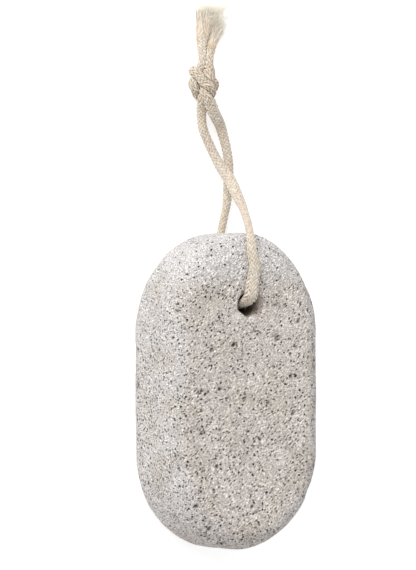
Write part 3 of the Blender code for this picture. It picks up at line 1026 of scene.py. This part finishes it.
def pressPores(places, normals, found):
    # sinks each pore into the surface and says how much painted shade each point gets from lying in a
    # pore
    tree = KDTree(len(places))
    for number, place in enumerate(places):
        tree.insert(place, number)
    tree.balance()
    depth = np.zeros(len(places))
    drop = np.zeros(len(places))
    for centre, normal, size, turn, dark in found:
        drawn = Vector((math.cos(turn), math.sin(turn), 0))
        along = drawn - normal * drawn.dot(normal)
        if along.length < 0.2:
            along = normal.orthogonal()
        along.normalize()
        across = normal.cross(along)
        near = tree.find_range(centre, max(size) * 1.35)
        numbers = np.array([item[1] for item in near])
        offset = places[numbers] - np.array(centre)
        ring = np.hypot(offset @ np.array(along) / size.x, offset @ np.array(across) / size.y)
        inside = 1 - smoothStep(ring, *pores["edge"])
        drop[numbers] = np.maximum(drop[numbers], inside * size.z * pores["depth"])
        depth[numbers] = np.maximum(depth[numbers], inside * dark)
    return drop, depth


def roughness(spot):
    return noise.noise(spot) + 0.5 * noise.noise(spot * 1.9)


def grainHeight(places, frontShare):
    # small pits and ridges: drawn out slantwise across the front, even on the sides
    turn = math.radians(pores["grainAngle"])
    ahead = places[:, 0] * math.cos(turn) + places[:, 1] * math.sin(turn)
    beside = places[:, 1] * math.cos(turn) - places[:, 0] * math.sin(turn)
    slanted = np.stack([ahead, beside, places[:, 2]], 1) / np.array(grain["frontSize"])
    origin = Vector(grain["origin"])
    heights = np.zeros(len(places))
    for number, share in enumerate(frontShare):
        if share > 0:
            heights[number] += share * roughness(origin + Vector(slanted[number]))
        if share < 1:
            spot = origin + Vector(places[number]) / grain["sideSize"]
            heights[number] += (1 - share) * roughness(spot)
    return heights


def lightenBack(mesh):
    # the worn patch under the stone is flat, so it needs few faces
    worn = np.nonzero(vertexPlaces(mesh)[:, 2] < stone["restHeight"])[0].tolist()
    return modified(mesh, "DECIMATE", worn, ratio=stone["keep"], vertex_group="group")


def flareShare(places, out):
    # where the mouth of the hole is worn open, on its right side
    facing = places[:, 0] / np.maximum(out, 0.1)
    return (smoothStep(facing, *hole["flareFacing"]) * (1 - smoothStep(out, *hole["flareRadii"]))
            * smoothStep(places[:, 2], *hole["flareHeights"]) * (out > hole["radius"] - 0.6))


def makeStoneMesh():
    plain = weather(makeBlock())
    large = largePores(surfaceTree(plain))
    mesh = lightenBack(remeshed(drilled(plain), stone["fineStep"]))
    places = vertexPlaces(mesh)
    normals = vectorsOf(mesh.vertex_normals, "vector")
    frontShare = smoothStep(normals[:, 2], *stone["frontFacing"])
    small = smallPores(places, normals, frontShare)
    drop, depth = pressPores(places, normals, large + small)
    height = grainHeight(places, frontShare)
    swing = grain["sideHeight"] * (1 - frontShare) + grain["frontHeight"] * frontShare
    fromChip = np.linalg.norm((places - pores["chip"]) / pores["chipSize"], axis=1)
    chip = (1 - smoothStep(fromChip, *pores["chipEdge"])) * pores["chipDepth"]
    moved = np.where(places[:, 2] < stone["restHeight"], 0, height * swing - drop - chip)
    out = np.hypot(places[:, 0], places[:, 1] - hole["y"])
    flared = flareShare(places, out)
    shifted = places + normals * moved[:, None]
    shifted[:, 2] -= flared * hole["flare"]
    setVertexPlaces(mesh, shifted)
    # painted shade down the bore and on the worn right side of the mouth
    shade = smoothStep(stone["thickness"] - places[:, 2], *hole["shadeDepths"])
    shade = np.where(out < hole["radius"] + 0.4, shade, 0)
    setVertexValues(mesh, front=frontShare, pit=depth, relief=height,
                    bored=np.maximum(shade, flared * hole["flareShade"]))
    print("stone formed:", len(mesh.polygons), "faces,", len(large), "large pores")
    return mesh


pumiceLook = {
    "side": (0.90, 0.855, 0.825), "front": (0.885, 0.81, 0.755),
    # tints: size of the patches, where in the noise they start and are full, share, colour
    "patches": ((13, 0.42, 0.66, 0.5, (0.75, 0.68, 0.58)), (7, 0.45, 0.7, 0.3, (0.72, 0.645, 0.655))),
    # what is laid over them: share, colour
    # painted light makes the top end paler, painted shade makes the low end darker and warmer
    "topEnd": (0.9, (0.96, 0.93, 0.91)), "lowEnd": (0.4, (0.64, 0.56, 0.48)),
    # painted shade in the pinholes and in the larger holes
    "pins": (0.97, (0.05, 0.032, 0.022)),
    "holes": (1, (0.03, 0.02, 0.014)),
    # painted shade in the pores
    "pits": (0.95, (0.11, 0.085, 0.07)),
    # painted shade down the bore of the hole
    "bore": (0.85, (0.25, 0.155, 0.10)),
    "topEndAt": (30, 42), "lowEndAt": (-38, -49),  # where they start and are full
    "straySize": 0.5, "stray": 0.35,  # what keeps the grain from lying too evenly
    "frontGrain": 0.31, "sideGrain": 0.33, "grainDrawn": (2.6, 0.85, 1),
    "grainRange": (0.31, 0.69), "grainShade": (0.48, 0.70), "reliefShade": 0.1,
    # cell, radius and share of the cells without one
    "frontPins": (0.72, 0.29, 0.35), "sidePins": (0.82, 0.29, 0.2), "largePins": (1.7, 0.19, 0.42),
    "pinsDrawn": (2.1, 0.85, 1), "pinsLost": 0.55,
    "bump": (0.45, 1.0), "pinBump": 0.9, "holeBump": 1.3,
}


def pumiceFinish():
    look = pumiceLook
    finish = Finish("pumice", Roughness=0.95, Specular_IOR_Level=0.25)
    front, pit, relief, bored = finish.attributes("front", "pit", "relief", "bored")
    place = finish.millimetres()
    along = finish.part(place, 1)
    stray = finish.noise(place, look["straySize"], 1, output=1)
    stray = finish.vector("SUBTRACT", {0: stray, 1: (0.5, 0.5, 0.5)})
    stray = finish.vector("SCALE", {0: stray, "Scale": look["stray"]})
    place = finish.vector("ADD", {0: place, 1: stray})
    drawn, short = [finish.add("Mapping", {"vector_type": "TEXTURE"}, {
        "Vector": place, "Rotation": (0, 0, math.radians(pores["grainAngle"])), "Scale": scale})
        for scale in (look["grainDrawn"], look["pinsDrawn"])]
    frontGrain = finish.noise(drawn, look["frontGrain"], 1.5, 0.5)
    sideGrain = finish.noise(place, look["sideGrain"], 1.5, 0.5)
    fine = finish.rise(frontGrain * front + sideGrain * (1 - front), *look["grainRange"])
    # pinholes: their mask sinks the bump and carries painted shade
    frontPins = pinholes(finish, short, *look["frontPins"])
    sidePins = pinholes(finish, place, *look["sidePins"])
    # painted light: the top end paler, and fewer of the painted dark pinholes there
    top = finish.rise(along, *look["topEndAt"])
    pins = (frontPins * front + sidePins * (1 - front)) * (1 - top * look["pinsLost"])
    holes = pinholes(finish, place, *look["largePins"])
    colour = finish.blend(front, look["side"], look["front"])
    for size, start, full, share, tint in look["patches"]:
        patch = finish.rise(finish.noise(place, size, 2), start, full)
        colour = finish.blend(patch * share, colour, tint)
    # painted light at the top end, and painted shade, darker and warmer, towards the low end
    colour = finish.lay(colour, look, topEnd=top, lowEnd=finish.rise(along, *look["lowEndAt"]))
    dark, light = look["grainShade"]
    shade = 1 - finish.rise(relief, -0.1, -0.7) * look["reliefShade"]
    shade = shade * (dark + fine * light)
    grey = finish.add("CombineColor", {}, {0: shade, 1: shade, 2: shade})
    colour = finish.blend(1.0, colour, grey, "MULTIPLY")
    # painted shade in the pinholes, the larger holes, the pores and the bore
    colour = finish.lay(colour, look, pins=pins, holes=holes,
                        pits=finish.rise(pit, 0.1, 0.85), bore=bored)
    height = fine - pins * look["pinBump"] - holes * look["holeBump"]
    return finish.finished(colour, height, *look["bump"])


def pinholes(finish, place, cell, radius, share):
    # round holes, one in most of the cells of an uneven grid; the finish fills them with painted
    # shade
    values = {"Vector": place, "Scale": 1 / cell, "Randomness": 1}
    distance = finish.add("TexVoronoi", {}, values)
    draw = finish.add("TexVoronoi", {}, values, output=1)
    lot = finish.add("SeparateColor", {}, {0: draw})
    size = (0.65 + lot * 0.6) * radius
    return (1 - finish.rise(distance / size, 0.7, 1.1)) * finish.rise(lot, share, share + 0.05)


cottonLook = {
    "yarns": ((0.55, 0.495, 0.42), (0.67, 0.615, 0.54)),  # the darkest and the palest
    # what is laid over them: share, colour
    "patches": (0.6, (0.62, 0.52, 0.42)),
    # painted light where strands press together, where the knot would be in shade
    "hemmed": (0.5, (0.82, 0.75, 0.64)),
    "sunk": (0.39, 0.30, 0.20), "sunkShare": (0.9, 0.55),  # painted shade: share in the open, and less where hemmed in
    "loose": ((0.85, 0.82, 0.73), (0.78, 0.60, 0.42)),  # the fibres' tips and roots, the roots darker with painted shade
    "patchSize": 5, "fibreSize": 0.16, "twists": (3, 0.7),
    "bump": (0.1, 0.6), "twistBump": 0.4, "fibreBump": 0.8,
}


def cottonFinish():
    look = cottonLook
    finish = Finish("cotton", Roughness=0.9, Specular_IOR_Level=0.2, Sheen_Weight=0.15)
    place = finish.millimetres()
    hemmed, sunk, thread, plied = finish.attributes("hemmed", "sunk", "thread", "plied")
    length = finish.add("UVMap", {"uv_map": "UVMap"})
    turns, slant = look["twists"]
    turn = (finish.part(length, 1) * turns - finish.part(length, 0) * slant) * 6.2832
    twist = finish.add("Math", {"operation": "SINE"}, {0: turn})
    fibres = finish.noise(place, look["fibreSize"], 2)
    plain, less = look["sunkShare"]
    colour = finish.blend(finish.rise(thread, 0, 1), *look["yarns"])
    patches = finish.rise(finish.noise(place, look["patchSize"]), 0.4, 0.7)
    colour = finish.lay(colour, look, patches=patches)
    # painted shade between the yarns and deep in the cord, less where strands press together
    colour = finish.blend(sunk * (plain - hemmed * less), colour, look["sunk"])
    # painted light where the strands press together
    colour = finish.lay(colour, look, hemmed=hemmed)
    # loose fibres: pale tips, roots darkened with painted shade
    colour = finish.blend(1 - plied, colour, finish.blend(sunk, *look["loose"]))
    height = (twist * look["twistBump"] + fibres * look["fibreBump"]) * plied
    return finish.finished(colour, height, *look["bump"])


studio = {
    "floor": 3, "floorDrop": 0.03, "floorColour": (0.5, 0.5, 0.5, 1), "floorGlow": 0.62,
    "sky": 0.88, "sun": 2.5, "sunSize": 40, "sunFrom": (-0.62, 0.63, 0.47),
}


def makeStage():
    drop = studio["floorDrop"] * mm
    bpy.ops.mesh.primitive_plane_add(size=studio["floor"], location=(0, 0, -drop))
    floor = bpy.context.active_object
    floor.name = "floor"
    finish = Finish("paleFloor", Base_Color=studio["floorColour"], Roughness=0.9,
                    Emission_Color=(1, 1, 1, 1), Emission_Strength=studio["floorGlow"])
    floor.data.materials.append(finish.material)
    world = bpy.data.worlds.new("studio")
    world.use_nodes = True
    background = world.node_tree.nodes["Background"].inputs
    background["Color"].default_value = (1, 1, 1, 1)
    background["Strength"].default_value = studio["sky"]
    bpy.context.scene.world = world
    data = bpy.data.lights.new("key", "SUN")
    data.energy = studio["sun"]
    data.angle = math.radians(studio["sunSize"])
    key = linkObject("key", data)
    key.rotation_mode = "QUATERNION"
    key.rotation_quaternion = Vector(studio["sunFrom"]).to_track_quat("Z", "Y")
    bpy.context.scene.view_settings.view_transform = "Standard"


def makeCord(paths, material):
    chance = random.Random(5)
    nodes = (["cord_loop", "cord_knot", "cord_tail_left"], ["cord_tail_right"])
    for number, (path, room) in enumerate(zip(paths, roomAround(paths))):
        side = ("front", "back")[number]
        reach = sectionReach(path, room, number)
        sweep = fray["sweep"][number]
        mesh = plaitMesh("cotton_cord_" + side, path, reach, room, sweep, chance)
        piece = finishPiece("cotton_cord_" + side, mesh, material, nodes[number])
        fibres = endFibres(path, reach, sweep, chance)
        brush = fibreMesh("frayed_end_" + side, fray, fibres, chance)
        end = finishPiece("frayed_end_" + side, brush, material)
        [value * mm for value in cord["exits"][number]]
        travelled(path)[-1] * mm
        print(piece.name, "plaited,", len(mesh.polygons), "faces")


makeCamera()
makeStage()
paths = layCord()
stoneMesh = makeStoneMesh()
paths = settleOn(stoneMesh, paths)
print("cord laid:", [round(travelled(path)[-1], 1) for path in paths], "mm")
finishPiece("pumice_body", stoneMesh, pumiceFinish(), ["pumice_stone"])
makeCord(paths, cottonFinish())
